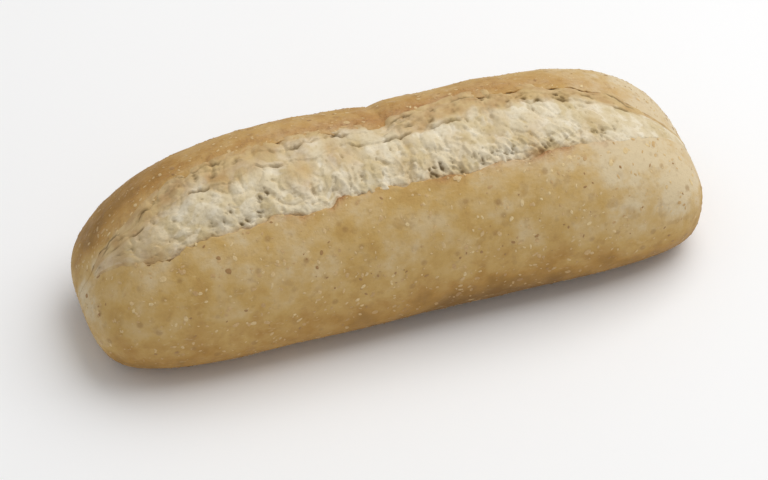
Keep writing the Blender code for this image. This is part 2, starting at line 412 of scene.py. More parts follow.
def mix(pair, share):
    """The first value where the share is 0 and the second where it is 1."""
    return pair[0] + (pair[1] - pair[0]) * share


def ear_height(along):
    """How far the rear lip is lifted at each station."""
    height = np.full_like(along, EAR_RISE)
    for middle, spread, rise in EAR_HUMPS:
        height = height + rise * bump_at(along, middle, spread)
    return height * split_openness(along)


def crease_depth(along, behind):
    """Depth of the crease at each station and turn behind the rear lip."""
    return CREASE_DEPTH * np.exp(-np.abs(along - CREASE_AT) / CREASE_SPREAD - (behind / CREASE_REACH) ** 2)


def crumb_height(along, share, places):
    """Height of the torn crumb over the closed crust, share being 0 at the front lip and 1 at the rear."""
    valley = FRONT_DROP * np.exp(-share / FRONT_DROP_REACH)
    hollow = mix(REAR_DROP, ear_freedom(along)) * np.exp(-(1.0 - share) / REAR_DROP_REACH)
    swell = CRUMB_SWELL * np.sin(math.pi * share)
    crags = CRAG_HEIGHT * smooth_noise(places / CRAG_SIZE, seed=3)
    lifted = ear_height(along) * (1.0 - ear_freedom(along)) * np.exp(-(1.0 - share) / LIFT_REACH)
    return (swell + crags + lifted - valley - hollow) * split_openness(along)


def loft_faces(stations, ring):
    """Corner indices of the quads between closed rings, and of a fan at each end to the last two points."""
    column = np.arange(ring)
    following = (column + 1) % ring
    starts = np.arange(stations - 1)[:, None] * ring
    quads = np.stack(
        [starts + column, starts + following, starts + ring + following, starts + ring + column], axis=-1
    ).reshape(-1, 4)
    first_tip, last_tip = stations * ring, stations * ring + 1
    last = (stations - 1) * ring
    fans = [(first_tip, int(following[i]), int(column[i])) for i in range(ring)]
    fans += [(last_tip, last + int(column[i]), last + int(following[i])) for i in range(ring)]
    return quads.tolist() + fans


def grid_piece(name, grid, tips, material):
    """A closed mesh object skinned over rings of points, shaded smooth."""
    stations, ring = grid.shape[:2]
    points = np.concatenate([grid.reshape(-1, 3), np.array(tips)])
    return mesh_piece(name, points.tolist(), loft_faces(stations, ring), material)


def mesh_piece(name, points, faces, material):
    """A smooth mesh object of one material, linked to the scene."""
    mesh = bpy.data.meshes.new(name)
    mesh.from_pydata(points, [], faces)
    mesh.validate()
    mesh.update()
    mesh.shade_smooth()
    mesh.materials.append(material)
    piece = bpy.data.objects.new(name, mesh)
    bpy.context.scene.collection.objects.link(piece)
    return piece


def paint(piece, name, values):
    """Store one number a point for the material to read."""
    layer = piece.data.attributes.new(name, "FLOAT", "POINT")
    layer.data.foreach_set("value", np.asarray(values, dtype=np.float32).ravel())


def frame_shift():
    """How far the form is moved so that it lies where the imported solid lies."""
    along = np.linspace(-1.0, 1.0, 400)
    half = WIDTH / 2 * closing(along, SIDE_CLOSING)
    bend = SIDEWAYS_BEND * along**2
    middle = ((half - bend).max() + (-half - bend).min()) / 2
    low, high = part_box(NODE)
    return np.array([0.0, (low.y + high.y) / 2 - middle, low.z])


def place_on_frame(piece):
    """Hang the piece on the root body and hide the imported part that it stands for."""
    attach(piece, "root")
    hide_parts(NODE)


class NodeBook:
    """Short calls for the nodes of one material."""

    def __init__(self, name):
        self.material = bpy.data.materials.new(name)
        self.material.use_nodes = True
        self.tree = self.material.node_tree
        self.shader = self.tree.nodes["Principled BSDF"]
        coordinates = self.tree.nodes.new("ShaderNodeTexCoord")
        self.place = coordinates.outputs["Object"]

    def join(self, source, target):
        self.tree.links.new(source, target)

    def feed(self, target, value):
        """Link a socket, or set a plain value."""
        if isinstance(value, bpy.types.NodeSocket):
            self.join(value, target)
        else:
            target.default_value = value

    def attribute(self, name):
        """A number that is stored with the mesh."""
        node = self.tree.nodes.new("ShaderNodeAttribute")
        node.attribute_name = name
        return node.outputs["Fac"]

    def stretch(self, factors):
        """Coordinates that make features longer along an axis whose factor is small."""
        node = self.tree.nodes.new("ShaderNodeMapping")
        node.inputs["Scale"].default_value = factors
        self.join(self.place, node.inputs["Vector"])
        return node.outputs["Vector"]

    def noise(self, size, detail, roughness=0.5, place=None):
        """Noise whose features are about that size, in metres."""
        node = self.tree.nodes.new("ShaderNodeTexNoise")
        node.inputs["Scale"].default_value = 1.0 / size
        node.inputs["Detail"].default_value = detail
        node.inputs["Roughness"].default_value = roughness
        self.join(place or self.place, node.inputs["Vector"])
        return node.outputs["Fac"]

    def cells(self, size):
        """Distance from the middle of the nearest of many cells of about that size."""
        node = self.tree.nodes.new("ShaderNodeTexVoronoi")
        node.inputs["Scale"].default_value = 1.0 / size
        self.join(self.place, node.inputs["Vector"])
        return node.outputs["Distance"]

    def math(self, operation, first, second, clamp=False):
        """One sum or product of two values."""
        node = self.tree.nodes.new("ShaderNodeMath")
        node.operation = operation
        node.use_clamp = clamp
        self.feed(node.inputs[0], first)
        self.feed(node.inputs[1], second)
        return node.outputs[0]

    def remap(self, value, low, high, to_low=0.0, to_high=1.0):
        """The value's range from low to high, carried smoothly over to another range."""
        node = self.tree.nodes.new("ShaderNodeMapRange")
        node.interpolation_type = "SMOOTHSTEP"
        self.feed(node.inputs["Value"], value)
        node.inputs["From Min"].default_value = low
        node.inputs["From Max"].default_value = high
        node.inputs["To Min"].default_value = to_low
        node.inputs["To Max"].default_value = to_high
        return node.outputs["Result"]

    def blend(self, share, first, second):
        """The first colour where the share is 0 and the second where it is 1."""
        node = self.tree.nodes.new("ShaderNodeMix")
        node.data_type = "RGBA"
        self.feed(node.inputs["Factor"], share)
        self.feed(node.inputs[6], first)
        self.feed(node.inputs[7], second)
        return node.outputs[2]

    def tinted(self, colour, share, strength, screen):
        """The colour turned towards a screen colour, by the share times the strength."""
        return self.blend(self.math("MULTIPLY", share, strength), colour, linear(*screen))

    def ramp(self, value, stops):
        """The colours of the stops, each at its place from 0 to 1."""
        node = self.tree.nodes.new("ShaderNodeValToRGB")
        elements = node.color_ramp.elements
        while len(elements) < len(stops):
            elements.new(0.5)
        for element, (position, colour) in zip(elements, stops):
            element.position = position
            element.color = colour
        self.join(value, node.inputs["Fac"])
        return node.outputs["Color"]

    def bump(self, height, distance, strength, normal=None):
        """A bumpy surface, laid over the one given."""
        node = self.tree.nodes.new("ShaderNodeBump")
        node.inputs["Strength"].default_value = strength
        node.inputs["Distance"].default_value = distance
        self.feed(node.inputs["Height"], height)
        if normal:
            self.join(normal, node.inputs["Normal"])
        return node.outputs["Normal"]

    def finished(self, colour, rough, normal):
        """Give the shader its colour, roughness and surface, and hand over the material."""
        self.join(colour, self.shader.inputs["Base Color"])
        self.join(rough, self.shader.inputs["Roughness"])
        self.join(normal, self.shader.inputs["Normal"])
        return self.material


def linear(red, green, blue):
    """A screen colour, 0 to 255 a channel, as the linear colour that materials hold."""
    shares = [channel / 255.0 for channel in (red, green, blue)]
    return (*[c / 12.92 if c <= 0.04045 else ((c + 0.055) / 1.055) ** 2.4 for c in shares], 1.0)


def colour_setting(name, description, screen):
    return bpy.props.FloatVectorProperty(
        name=name,
        description=description,
        default=linear(*screen),
        subtype="COLOR",
        size=4,
        min=0.0,
        max=1.0,
    )


def count_setting(name, description, default):
    return bpy.props.IntProperty(name=name, description=description, default=default, min=0)


def angle_setting(name, description, default):
    return bpy.props.FloatProperty(name=name, description=description, default=default, subtype="ANGLE")


def length_setting(name, description, default):
    return bpy.props.FloatProperty(
        name=name, description=description, default=default, min=0.0, unit="LENGTH"
    )


class BreadSizes(bpy.types.PropertyGroup):
    """Sizes of what is torn and scattered on the roll."""

    lip_jag: length_setting("Lip jag", "How far the torn lips stray from a smooth line", 0.65 * MM)
    edge_depth: length_setting("Edge depth", "How deep the crust's torn edge shows", 0.8 * MM)
    floor_depth: length_setting("Floor depth", "Depth of the split's hidden floor under the crust", 5.0 * MM)
    lobe_height: length_setting("Lobe height", "Height of the crumb's rounded lobes", 0.7 * MM)
    flake_height: length_setting("Flake height", "Height of the torn flakes", 0.95 * MM)
    flake_count: count_setting("Flakes", "Number of torn flakes", 2200)
    strand_height: length_setting("Strand height", "Height of the torn strands", 0.40 * MM)
    pore_depth: length_setting("Pore depth", "Depth of the largest pores", 1.5 * MM)
    pore_count: count_setting("Pores", "Number of small pores", 420)
    fleck_count: count_setting("Flecks", "Number of bran flecks", 2400)
    fleck_length: length_setting("Fleck length", "Length of the largest bran flecks", 2.2 * MM)


class BreadColours(bpy.types.PropertyGroup):
    """Colours of the crust, the crumb and the bran."""

    crust_pale: colour_setting("Pale crust", "Least baked crust", (214, 194, 156))
    crust_tan: colour_setting("Tan crust", "Most of the crust", (197, 162, 97))
    crust_golden: colour_setting("Golden crust", "Well baked crust", (177, 135, 68))
    crust_brown: colour_setting("Brown crust", "Darkest crust", (132, 96, 42))
    crumb_pale: colour_setting("Pale crumb", "Palest flakes of the crumb", (235, 224, 200))
    crumb_shade: colour_setting("Tan crumb", "Darkest flakes of the crumb", (207, 187, 144))
    # Painted shade: the colour that pores and the gaps under the rear lip darken to
    pore_shade: colour_setting("Pore", "Bottom of the pores", (122, 100, 62))
    bran_dark: colour_setting("Dark bran", "Darkest flecks", (164, 126, 78))
    bran_pale: colour_setting("Pale bran", "Palest flecks", (228, 203, 151))
    floor: colour_setting("Floor", "The floor under the roll", (250, 250, 250))


class BreadStage(bpy.types.PropertyGroup):
    """Light and camera."""

    elevation: angle_setting("Elevation", "Camera's angle over the floor", math.radians(45.0))
    yaw: angle_setting("Yaw", "Camera's turn towards the left end", math.radians(18.2))
    distance: length_setting("Distance", "From the camera to the roll", 1.0)
    sky_strength: bpy.props.FloatProperty(
        name="Sky", description="Brightness of the even light from all round", default=0.46, min=0.0
    )
    key_power: bpy.props.FloatProperty(
        name="Key light",
        description="Power of the soft light from above",
        default=8.2,
        min=0.0,
        subtype="POWER",
    )


def settings():
    scene = bpy.context.scene
    return scene.bread_sizes, scene.bread_colours, scene.bread_stage


def crust_stations():
    """Stations along the roll, closer to each other towards the ends."""
    steps = CRUST_REACH * np.linspace(-1.0, 1.0, CRUST_STATIONS + 2)[1:-1]
    return steps * (1.0 + END_CROWDING - END_CROWDING * steps**6)


def lip_jag(along, seed, size):
    """Fine straying of a torn lip, as an arc length."""
    x = along * LENGTH / 2 / MM
    still = np.full_like(x, 0.37)
    wide = np.minimum(1.5 * split_openness(along), 1.0) * (1.0 + 1.3 * ease_between(-0.5, -0.8, along))
    return size * wide * rough_noise(x / JAG_SIZE, still, seed, 4, 0.7)


def rear_jag(along, sizes):
    """Straying of the rear lip, wider on the left where it is flaky."""
    return lip_jag(along, 31, sizes.lip_jag) * mix((2.0, 1.3), ear_freedom(along))


def lip_patches(along):
    """1 on the well baked, raised stretches of the front lip."""
    total = np.zeros_like(along)
    for middle, spread, strength in LIP_PATCHES:
        total += strength * bump_at(along, middle, spread)
    return np.minimum(total, 1.0)


def lip_roughness(x, before, behind):
    """Small torn lumps of the crust close to its two lips."""
    arc = np.where(before > 0.0, before, behind) * WIDTH / 2 / MM
    lumps = ridge_noise(x / 4.0, arc / 1.9, 13, 1.6) + 0.7 * flat_noise(x / 1.7, arc / 1.7, 14)
    near_front = bump_at(before, 0.0, LUMP_REACH[FRONT]) * (before > 0.0)
    near_rear = bump_at(behind, 0.0, LUMP_REACH[REAR]) * (behind >= 0.0)
    return (LUMP_HEIGHT[FRONT] * near_front + LUMP_HEIGHT[REAR] * near_rear) * (lumps - 0.4)


def front_lines(along, front, openness, sizes):
    """Turn, height and pull of each line of points from the base up to the front lip and down its edge."""
    jag = lip_jag(along, 21, sizes.lip_jag)
    rise = FRONT_LIP_RISE * (0.5 + 1.2 * lip_patches(along)) * openness
    thick = sizes.edge_depth * openness
    for share in 1.0 - np.linspace(1.0, 0.0, CRUST_FRONT_POINTS) ** LIP_CROWDING:
        turn = -math.pi + (front + math.pi) * share
        before = front - turn
        yield turn, rise * np.exp(-before / FRONT_LIP_REACH), jag * bump_at(before, 0.0, JAG_REACH[FRONT])
    for step, depth in FRONT_EDGE:
        yield front, rise - depth * thick, jag + step * MM * openness


def floor_lines(front, rear, openness, sizes):
    """Turn, height and pull of the lines of the hidden floor between the two torn edges."""
    for share in np.linspace(*FLOOR_SHARES, CRUST_FLOOR_POINTS):
        yield front + (rear - front) * share, -sizes.floor_depth * openness, np.zeros_like(front)


def rear_lines(along, rear, openness, sizes):
    """Turn, height and pull of each line from the rear lip's underside round its edge to the base."""
    jag = rear_jag(along, sizes)
    lift = ear_height(along)
    overhang = mix(EAR_OVERHANG, ear_freedom(along)) * openness
    thick = sizes.edge_depth * openness
    for step, depth in REAR_EDGE:
        height = lift - crease_depth(along, 0.0) * openness - depth * thick
        yield rear, height, step * MM * openness - overhang - jag
    for share in np.linspace(0.0, 1.0, CRUST_REAR_POINTS)[:-1] ** LIP_CROWDING:
        turn = rear + (math.pi - rear) * share
        behind = turn - rear
        height = lift * bump_at(behind, 0.0, EAR_REACH) - crease_depth(along, behind)
        hung = overhang * bump_at(behind, 0.0, OVERHANG_REACH)
        yield turn, height, -hung - jag * bump_at(behind, 0.0, JAG_REACH[REAR])


def crust_grid(sizes):
    """Rings of the crust, the turn of each point, and 1 for each line that is part of the outer crust."""
    along = crust_stations()
    front, rear = lip_turns(along)
    openness = np.maximum(split_openness(along), LEAST_OPEN)
    lines = [
        *front_lines(along, front, openness, sizes),
        *floor_lines(front, rear, openness, sizes),
        *rear_lines(along, rear, openness, sizes),
    ]
    turn, height, pull = (np.stack(values, axis=1) for values in zip(*lines))
    station = np.broadcast_to(along[:, None], turn.shape)
    skin = closed_crust(station, turn)
    outward, forward = section_normal(station, turn)
    outer = np.ones(turn.shape[1])
    outer[CRUST_FRONT_POINTS : turn.shape[1] - CRUST_REAR_POINTS + 1] = 0.0
    off_base = ease_between(0.0, BASE_FADE, skin[..., 2])
    wave = sum(rise * smooth_noise(skin / size, seed) for rise, size, seed in CRUST_WAVES)
    before = np.maximum(front[:, None] - turn, 0.0)
    behind = np.where(turn >= rear[:, None], turn - rear[:, None], -1.0)
    rough = lip_roughness(station * LENGTH / 2 / MM, before, behind) * openness[:, None] * outer
    height = height + wave * off_base + rough
    grid = skin + outward * height[..., None] + forward * pull[..., None]
    grid[..., 2] = np.maximum(grid[..., 2], 0.0)
    return grid, turn, outer


def grid_normals(grid):
    """Outward normals of a grid of rings."""
    ahead = np.gradient(grid, axis=0)
    around = np.roll(grid, -1, axis=1) - np.roll(grid, 1, axis=1)
    return unit(np.cross(around, ahead))


def crust_bake_and_shading(grid, turn):
    """How baked each point of the crust is, from 0, pale, to 1, brown, with painted shade on the lower sides
    and painted light beside the front lip worked in.
    """
    along = grid[..., 0] / (LENGTH / 2)
    level = grid[..., 2]
    front, rear = lip_turns(along)
    # Painted shade: darker towards the base, partly a browner bake and partly the shade of the lower sides
    low_bake_and_shade = 1.0 - ease_between(*LOW_BAKE_AND_SHADE_LEVELS, level)
    rear_side = ease_between(0.0, 0.4, turn - rear) * ease_between(0.9, 0.1, along)
    left_rear = ease_between(0.0, 0.45, turn) * ease_between(-0.4, -0.85, along)
    left_rear *= ease_between(*LEFT_REAR_LEVELS, level)
    nose = ease_between(-0.93, -0.985, along)
    # Paler towards the right end, but only a third as pale at the base: painted shade low down
    right = ease_between(0.35, 1.0, along) * (0.35 + 0.65 * ease_between(*RIGHT_LEVELS, level))
    # The painted shade low down is deeper right of the middle
    low_bake_and_shade *= 1.0 + 0.45 * ease_between(0.0, 0.25, along) + 0.6 * bump_at(along, 0.12, 0.30)
    flaky = np.exp(-np.abs(turn - rear) / FLAKY_REACH) * ease_between(0.0, -0.2, along)
    flaky *= ease_between(-0.2, 0.4, smooth_noise(grid / FLAKY_SIZE, seed=9))
    # Paler beside the front lip: partly paler crust, partly painted light on the upward-facing top of the
    # front
    sides = 0.6 * ease_between(-0.1, -0.4, along) + 2.0 * ease_between(0.05, 0.45, along)
    beside_front_pale_and_lit = np.exp(-np.abs(front - turn) / PALE_AND_LIT_REACH) * sides
    bake_and_shading = 0.35 + 0.42 * low_bake_and_shade + 0.14 * rear_side + 0.40 * left_rear - 0.34 * nose - 0.34 * right
    # Only the lower sides, with their painted shade, reach the darkest brown
    most = np.minimum(0.83 + 0.17 * low_bake_and_shade, 1.0)
    return np.clip(bake_and_shading - 0.35 * flaky - 0.15 * beside_front_pale_and_lit, 0.0, most)


def lip_toast(turn, grid):
    """1 on the well baked stretches beside the two lips and 0 elsewhere."""
    along = grid[..., 0] / (LENGTH / 2)
    front, rear = lip_turns(along)
    near_front = np.exp(-np.abs(turn - front) / TOAST_REACH[FRONT])
    near_rear = np.exp(-np.abs(turn - rear - 0.1) / TOAST_REACH[REAR])
    patches = lip_patches(along) * (0.8 + 0.6 * smooth_noise(grid / TOAST_SIZE, seed=8))
    behind = 0.30 + 0.45 * bump_at(along, 0.05, 0.40)
    ends = ease_between(-1.0, -0.8, along) * ease_between(0.95, 0.6, along)
    return np.clip(near_front * patches + near_rear * behind * ends, 0.0, 1.0)


def crust_material(colours):
    """Baked skin: mottled by how baked it is, painted shade on the lower sides and painted light beside the
    front lip included, with spots, smudges, toasted scabs, grain and dust.
    """
    book = NodeBook("crust")
    bake_and_shading = book.attribute("bake_and_shading")
    toast = book.attribute("toast")
    patches = book.remap(book.noise(0.014, 3.0), 0.3, 0.7, -0.11, 0.11)
    mottle = book.remap(book.noise(0.0054, 4.0, 0.6), 0.3, 0.7, -0.13, 0.13)
    swing = book.math("MULTIPLY", book.math("ADD", patches, mottle), book.remap(bake_and_shading, 0.55, 0.85, 1.0, 0.5))
    stops = [
        (0.0, tuple(colours.crust_pale)),
        (0.22, linear(*CRUST_LIGHT)),
        (0.40, tuple(colours.crust_tan)),
        (0.70, tuple(colours.crust_golden)),
        (1.0, tuple(colours.crust_brown)),
    ]
    # Painted shade and light reach the colour through the bake: the darkest stops mostly on the lower sides
    colour = book.ramp(book.math("ADD", bake_and_shading, swing, clamp=True), stops)
    spots = book.remap(book.cells(0.0065), 0.20, 0.08)
    colour = book.tinted(colour, spots, 0.40, CRUST_SPOT)
    smudges = book.remap(book.noise(0.0042, 2.0), 0.60, 0.72)
    colour = book.tinted(colour, smudges, 0.22, CRUST_SMUDGE)
    colour = book.tinted(colour, toast, 0.9, CRUST_TOAST)
    scabs = book.math("MULTIPLY", book.remap(book.noise(0.0024, 3.0, 0.6), 0.54, 0.66), toast)
    colour = book.tinted(colour, scabs, 0.7, CRUST_SCAB)
    grain = book.remap(book.noise(0.0017, 2.0), 0.58, 0.72)
    colour = book.tinted(colour, grain, 0.16, CRUST_GRAIN)
    dust = book.remap(book.noise(0.0013, 2.0, 0.6, book.stretch((0.5, 1.0, 1.0))), 0.62, 0.74)
    colour = book.tinted(colour, dust, 0.20, CRUST_DUST)
    rough = book.remap(book.noise(0.004, 3.0), 0.3, 0.7, 0.52, 0.72)
    book.shader.inputs["Specular IOR Level"].default_value = 0.35
    wrinkle = book.noise(0.0026, 4.0, 0.6, book.stretch((0.6, 1.0, 1.0)))
    skin = book.bump(wrinkle, 0.0006, 0.5)
    flaky = book.bump(book.math("MULTIPLY", book.noise(0.0019, 4.0, 0.65), toast), 0.0016, 1.0, skin)
    fine = book.bump(book.noise(0.0007, 3.0, 0.6), 0.00025, 0.5, flaky)
    return book.finished(colour, rough, fine)


def strand_slant(s):
    """How far towards the right a strand runs for each millimetre towards the front lip."""
    return 0.2 + 0.6 * ease_between(-20.0, -45.0, s) + 0.5 * ease_between(5.0, 28.0, s)


def torn_layers(s, t, share, width, lip_gap):
    """Height of the torn layers under the rear lip, and how far their edges and the lip gape."""
    height = np.zeros_like(s)
    gape = np.zeros_like(s)
    still = np.full_like(s, 0.6)
    free = ear_freedom(s * MM / (LENGTH / 2))
    wide_open = ease_between(*GAPE_WIDTHS, width)
    for begins, step, seed in LAYERS:
        stray = 0.06 * rough_noise(s / 9.0, t / 16.0, seed, 4, 0.65)
        past = (share - mix(begins, free) - stray) * width
        height += step * ease_between(-0.12, 0.16, past)
        opened = wide_open * ease_between(0.05, 0.5, flat_noise(s / 4.5, still, seed + 5))
        gape = np.maximum(gape, opened * bump_at(past, -0.22, 0.24))
    opened = wide_open * ease_between(-0.1, 0.4, flat_noise(s / 5.5, still, 91))
    gape = np.maximum(gape, opened * bump_at(lip_gap, 0.0, 0.45))
    return height, gape


def window_at(place, here, reach, grid):
    """The rows and columns of the crumb's grid near a place, and the distances from it in millimetres."""
    s, share, width = grid
    rows, columns = s.shape
    row_mm = s[1, 0] - s[0, 0]
    column_share = share[0, 1] - share[0, 0]
    row = int(np.clip((place - s[0, 0]) / row_mm, 0, rows - 1))
    wide = float(width[row, 0])
    column = int((here - share[0, 0]) / column_share)
    span_s = int(reach / row_mm) + 2
    span_t = int(reach / (wide * column_share)) + 2
    rows_near = slice(max(row - span_s, 0), min(row + span_s + 1, rows))
    columns_near = slice(max(column - span_t, 0), max(min(column + span_t + 1, columns), 0))
    away_s = s[rows_near, columns_near] - place
    away_t = (share[rows_near, columns_near] - here) * wide
    return (rows_near, columns_near), away_s, away_t


def turned(away_s, away_t, angle):
    """Distances along and across a direction in the crumb's grid."""
    along_it = away_s * math.cos(angle) + away_t * math.sin(angle)
    across_it = away_t * math.cos(angle) - away_s * math.sin(angle)
    return along_it, across_it


def torn_angle(draw, place, here, spread):
    """The direction of a flake or pore: down the strands, or along the roll close to the rear lip."""
    if here > 0.70:
        return float(draw.normal(0.0, 0.25))
    return math.atan2(1.0, -float(strand_slant(np.array(place)))) + float(draw.normal(0.0, spread))


def roundness(s):
    """1 towards the left, where the crumb is torn in rounded lumps, and 0 where it is drawn into strands."""
    return ease_between(-15.0, -40.0, s)


def flake_field(grid, sizes):
    """Overlapping torn flakes: height in shares of the flake height, and each flake's own tint."""
    draw = np.random.default_rng(5)
    s, share, _ = grid
    height = np.full_like(s, -0.5)
    tint = np.zeros_like(s)
    warp_s = 0.5 * flat_noise(s / 1.6, share * 12.0, 54)
    warp_t = 0.4 * flat_noise(s / 1.6, share * 12.0, 55)
    for _ in range(sizes.flake_count):
        place = float(draw.uniform(s[0, 0], s[-1, 0]))
        here = float(draw.uniform(-0.05, 1.08))
        rounded = float(roundness(place))
        long_half = min(float(np.exp(draw.normal(0.45 + 0.55 * here, 0.40))), FLAKE_LONGEST)
        short_half = long_half * (float(draw.uniform(0.32, 0.62)) + 0.28 * rounded)
        angle = torn_angle(draw, place, here, 0.4 + 0.6 * rounded)
        level, shade = float(draw.normal(0.0, 0.22)), float(draw.uniform(-1.0, 1.0))
        lean_long, lean_short = float(draw.uniform(-0.30, 0.18)), float(draw.uniform(-0.22, 0.22))
        near, away_s, away_t = window_at(place, here, long_half * 1.2, grid)
        along_it, across_it = turned(away_s + warp_s[near], away_t + warp_t[near], angle)
        along_it, across_it = along_it / long_half, across_it / short_half
        inside = along_it**2 + across_it**2
        candidate = level + lean_long * along_it + lean_short * across_it + 0.25 * (1.0 - inside)
        shown = (inside < 1.0) & (candidate > height[near])
        height[near] = np.where(shown, candidate, height[near])
        tint[near] = np.where(shown, shade, tint[near])
    return blur(height), blur(tint)


def crumb_relief(along, share, sizes):
    """Fine torn relief of the crumb over its main form, and what its material needs at each point."""
    front, rear = lip_turns(along[:, 0])
    width = np.maximum((rear - front) * WIDTH / 2 / MM, 1.0)[:, None]
    s = along * LENGTH / 2 / MM
    t = share * width
    grid = (s, share, width)
    warp_s = s + 1.5 * flat_noise(s / 6.0, t / 6.0, 41)
    warp_t = t + 1.2 * flat_noise(s / 6.0, t / 6.0, 42)
    # Rounded lobes with narrow creases between them
    billow = np.abs(flat_noise(warp_s / LOBE_SIZE, warp_t / LOBE_SIZE, 43))
    lobes = sizes.lobe_height * (np.minimum(billow * 3.0, 1.0) ** 0.6 - 0.7)
    lobes *= ease_between(-0.4, 0.3, flat_noise(s / 11.0, t / 11.0, 44)) + 0.35 * roundness(s)
    flakes, tint = flake_field(grid, sizes)
    # Strands hang across the hollows beside the front lip
    lane = warp_s + strand_slant(s) * t
    front_zone = ease_between(0.60, 0.20, share + 0.15 * flat_noise(s / 8.0, t / 8.0, 47))
    strands = ridge_noise(lane / STRAND_SIZE[0], warp_t / STRAND_SIZE[1], 46, 2.2) ** 1.5
    strands = strands * front_zone * (1.0 - 0.7 * roundness(s))
    relief = lobes + sizes.flake_height * flakes + sizes.strand_height * strands
    relief = relief + GRIT_HEIGHT * rough_noise(s / GRIT_SIZE[0], t / GRIT_SIZE[1], 50, 3, 0.65)
    # In places the crumb fills up to the lips
    filled = 0.25 + 0.75 * ease_between(-0.35, 0.35, flat_noise(s / 10.0, np.full_like(s, 0.4), 52))
    relief = relief + FILL_RISE[FRONT] * filled * np.exp(-np.maximum(share, 0.0) / FRONT_DROP_REACH)
    free = ear_freedom(along)
    shut = 0.35 + 0.65 * ease_between(-0.4, 0.3, flat_noise(s / 6.0, np.full_like(s, 0.8), 53))
    behind = np.maximum(1.0 - share, 0.0)
    relief = relief + FILL_RISE[REAR] * shut * free * np.exp(-behind / REAR_DROP_REACH)
    overhang = mix(EAR_OVERHANG, free) + rear_jag(along, sizes)
    lip_gap = t - width + overhang / MM
    layers, gape = torn_layers(s, t, share, width, lip_gap)
    pores = pore_field(grid, sizes)
    relief = relief + layers - GAPE_DEPTH * gape - pores
    # Painted shade for the material, from the depth of the pores and the gaps of the torn layers and the
    # rear lip
    hollow = np.clip(pores / PORE_SHADE_DEPTH + 0.8 * gape, 0.0, 1.0)
    return relief * split_openness(along), hollow, tint


def large_pores():
    """Place, share of the split's width and radius of each larger pore, spread evenly over its group."""
    draw = np.random.default_rng(PORE_SEED)
    for first, last, middle, spread, count, size in PORE_GROUPS:
        for number in range(count):
            along = first + (last - first) * (number + float(draw.uniform(0.1, 0.9))) / count
            share = middle + spread * float(draw.uniform(-1.7, 1.7))
            yield along, share, size * float(draw.uniform(0.7, 1.2))


def pore_list(sizes):
    """Every pore: a cluster for each larger one, and small ones, most of them near the front lip."""
    draw = np.random.default_rng(7)
    pores = []
    for along, share, radius in large_pores():
        place = along * LENGTH / 2 / MM
        pores.append((place, share, radius * 1.9, 0.25))
        pores.append((place, share, radius * 0.8, 1.0))
        for _ in range(PORE_CLUSTER):
            aside = float(draw.normal(0.0, 0.8)) * radius
            up = float(draw.normal(0.0, 0.055)) * radius
            pores.append((place + aside, share + up, radius * float(draw.uniform(0.35, 0.65)), 1.0))
    for _ in range(sizes.pore_count):
        place = float(draw.uniform(-0.95, 0.95)) * LENGTH / 2 / MM
        share = float(draw.beta(1.3, 2.6))
        radius = min(float(np.exp(draw.normal(-1.35, 0.35))), SMALL_PORE_LARGEST)
        pores.append((place, share, radius, float(draw.uniform(0.3, 0.8))))
    return pores


def pore_field(grid, sizes):
    """Depth of the pores at each point of the crumb."""
    draw = np.random.default_rng(8)
    s, share, width = grid
    depth = np.zeros_like(s)
    ragged = 1.0 + 0.45 * flat_noise(s / 0.9, share * width / 0.9, 53)
    for place, here, radius, strength in pore_list(sizes):
        long_half = radius * float(draw.uniform(1.2, 2.1))
        short_half = radius * 0.72
        angle = torn_angle(draw, place, here, 0.35)
        near, away_s, away_t = window_at(place, here, long_half * 1.5, grid)
        along_it, across_it = turned(away_s, away_t, angle)
        distance = np.hypot(along_it / long_half, across_it / short_half) * ragged[near]
        deepest = min(radius * 1.5 * MM, sizes.pore_depth) * strength
        pit = np.clip(1.0 - distance**2, 0.0, 1.0) * deepest
        depth[near] = np.maximum(depth[near], pit)
    return depth


def crumb_sheet(along, share):
    """Stations, shares of the split's width, points of the closed crust and its outward directions there."""
    station, across = np.meshgrid(along, share, indexing="ij")
    front, rear = lip_turns(along)
    turn = front[:, None] + (rear - front)[:, None] * across
    outward, _ = section_normal(station, turn)
    return station, across, closed_crust(station, turn), outward


def crumb_grid(sizes):
    """Rings of the crumb: its torn top from under one lip to under the other, and a plain underside."""
    along = np.linspace(SPLIT_ENDS[LEFT] + CRUMB_SHORT, SPLIT_ENDS[RIGHT] - CRUMB_SHORT, CRUMB_STATIONS)
    station, across, skin, outward = crumb_sheet(along, np.linspace(*CRUMB_SHARES, CRUMB_POINTS))
    openness = split_openness(station)
    main = crumb_height(station, np.clip(across, 0.0, 1.0), skin)
    relief, hollow, tint = crumb_relief(station, across, sizes)
    tuck = CRUMB_TUCK * (ease_between(-0.02, -0.08, across) + ease_between(1.05, 1.12, across)) * openness
    ends = 1.0 - ease_between(0.0, 0.03, station - along[0]) * ease_between(0.0, 0.03, along[-1] - station)
    crease = crease_depth(station, 0.0) * ease_between(0.6, 1.0, across)
    height = main + relief - tuck - crease - CRUMB_END_DROP * ends
    top = skin + outward * height[..., None]
    under_share = np.linspace(1.0, 0.0, CRUMB_UNDER_POINTS)
    under_station, _, under_skin, under_outward = crumb_sheet(along, under_share)
    sink = (sizes.floor_depth + CRUMB_UNDER_ROOM) * split_openness(under_station) + CRUMB_UNDER_ROOM
    under = under_skin - under_outward * sink[..., None]
    return np.concatenate([top, under], axis=1), station, across, hollow, tint


